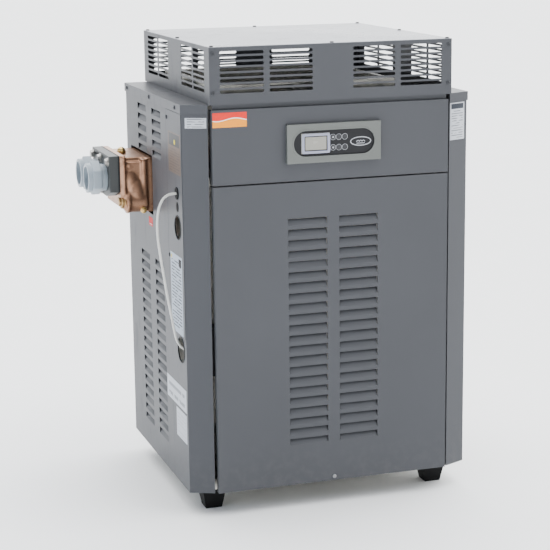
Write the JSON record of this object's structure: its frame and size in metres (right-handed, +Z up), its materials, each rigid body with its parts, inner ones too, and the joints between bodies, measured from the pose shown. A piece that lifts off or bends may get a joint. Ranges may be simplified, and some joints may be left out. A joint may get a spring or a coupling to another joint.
{
  "type": "gas pool heater",
  "caption": "Floor-standing gas pool and spa heater in a grey louvred cabinet with a vent cage, a keypad panel, side water connections and a supply cable.",
  "frame": {"origin": "centre of the footprint of the overall box, on the floor", "axes": "+Z up; the door and keypad face -Y; the water connections face -X"},
  "size_m": [0.7196, 0.5134, 0.9295],
  "materials": {
    "cabinet_paint": "satin grey powder coat",
    "cover_paint": "light grey powder coat",
    "galvanised": "galvanised",
    "burner_steel": "bare steel",
    "screw_steel": "zinc plated",
    "foot_plastic": "black moulded",
    "header_bronze": "cast bronze, toned brown",
    "fitting_brass": "turned brass",
    "tube_copper": "drawn copper",
    "sheet_steel": "mill finish",
    "flange_plastic": "dark grey moulded",
    "connector_plastic": "light grey vinyl",
    "gasket_rubber": "sheet rubber",
    "refractory": "ceramic fibre board",
    "gas_iron": "black iron pipe",
    "valve_aluminium": "die cast",
    "knob_plastic": "moulded",
    "bezel_plastic": "textured moulded",
    "fascia_plastic": "printed film on moulding",
    "display_glass": "clear window over display",
    "key_plastic": "moulded",
    "board_laminate": "laminate",
    "module_plastic": "moulded case",
    "bush_plastic": "moulded",
    "cable_jacket": "white jacket"
  },
  "bodies": {
    "cabinet": {"access_cover": "cabinet_paint", "base_pan": "galvanised", "burner_tray": "galvanised", "burners": "burner_steel", "bypass_cap": "fitting_brass", "bypass_spring": "burner_steel", "cable_bush": "bush_plastic", "cage_cover": "cover_paint", "cage_front": "cabinet_paint", "cage_left": "cabinet_paint", "cage_rear": "cabinet_paint", "cage_right": "cabinet_paint", "cage_screws": "screw_steel", "circuit_board": "board_laminate", "control_bezel": "bezel_plastic", "control_panel": "cabinet_paint", "display_window": "display_glass", "drain_plug": "fitting_brass", "finned_tubes": "tube_copper", "flange_bolts": "screw_steel", "flange_gasket": "gasket_rubber", "flue_collector": "galvanised", "foot_front_left": "foot_plastic", "foot_front_right": "foot_plastic", "foot_rear_left": "foot_plastic", "foot_rear_right": "foot_plastic", "front_rail": "galvanised", "gas_manifold": "gas_iron", "gas_pipe": "gas_iron", "gas_valve": "valve_aluminium", "governor_cap": "fitting_brass", "ignition_module": "module_plastic", "inlet_connector": "connector_plastic", "inout_header": "header_bronze", "jacket_screws": "screw_steel", "keypad_fascia": "fascia_plastic", "left_side_panel": "cabinet_paint", "outlet_connector": "connector_plastic", "pipe_flange": "flange_plastic", "pressure_switch": "burner_steel", "rear_panel": "cabinet_paint", "refractory_front": "refractory", "refractory_rear": "refractory", "refractory_sides": "refractory", "return_header": "header_bronze", "right_side_panel": "cabinet_paint", "supply_cable": "cable_jacket", "top_panel": "cabinet_paint", "tube_sheet_left": "sheet_steel", "tube_sheet_right": "sheet_steel"},
    "door": {"front_door": "cabinet_paint", "door_screw": "screw_steel"},
    "gas_knob": {"gas_valve_knob": "knob_plastic"},
    "poppet": {"bypass_poppet": "fitting_brass"},
    "key_mode_body": {"key_mode": "key_plastic"},
    "key_up_body": {"key_up": "key_plastic"},
    "key_down_body": {"key_down": "key_plastic"},
    "key_program_body": {"key_program": "key_plastic"},
    "key_pool_body": {"key_pool": "key_plastic"},
    "key_spa_body": {"key_spa": "key_plastic"}
  },
  "joints": [
    {"name": "door_pull", "type": "slide", "parent": "cabinet", "child": "door", "axis": [0, -1, 0], "range_m": [0, 0.35]},
    {"name": "knob_turn", "type": "hinge", "parent": "cabinet", "child": "gas_knob", "pos_m": [0.157, -0.19775, 0.177], "axis": [0, 0, 1], "range_deg": [0, 90]},
    {"name": "poppet_lift", "type": "slide", "parent": "cabinet", "child": "poppet", "axis": [-1, 0, 0], "range_m": [0, 0.008], "stiffness_N_per_m": 600, "springref_m": -0.01},
    {"name": "key_mode_press", "type": "slide", "parent": "cabinet", "child": "key_mode_body", "axis": [0, 1, 0], "range_m": [0, 0.0008], "stiffness_N_per_m": 1500, "springref_m": -0.0004},
    {"name": "key_up_press", "type": "slide", "parent": "cabinet", "child": "key_up_body", "axis": [0, 1, 0], "range_m": [0, 0.0008], "stiffness_N_per_m": 1500, "springref_m": -0.0004},
    {"name": "key_down_press", "type": "slide", "parent": "cabinet", "child": "key_down_body", "axis": [0, 1, 0], "range_m": [0, 0.0008], "stiffness_N_per_m": 1500, "springref_m": -0.0004},
    {"name": "key_program_press", "type": "slide", "parent": "cabinet", "child": "key_program_body", "axis": [0, 1, 0], "range_m": [0, 0.0008], "stiffness_N_per_m": 1500, "springref_m": -0.0004},
    {"name": "key_pool_press", "type": "slide", "parent": "cabinet", "child": "key_pool_body", "axis": [0, 1, 0], "range_m": [0, 0.0008], "stiffness_N_per_m": 1500, "springref_m": -0.0004},
    {"name": "key_spa_press", "type": "slide", "parent": "cabinet", "child": "key_spa_body", "axis": [0, 1, 0], "range_m": [0, 0.0008], "stiffness_N_per_m": 1500, "springref_m": -0.0004}
  ]
}
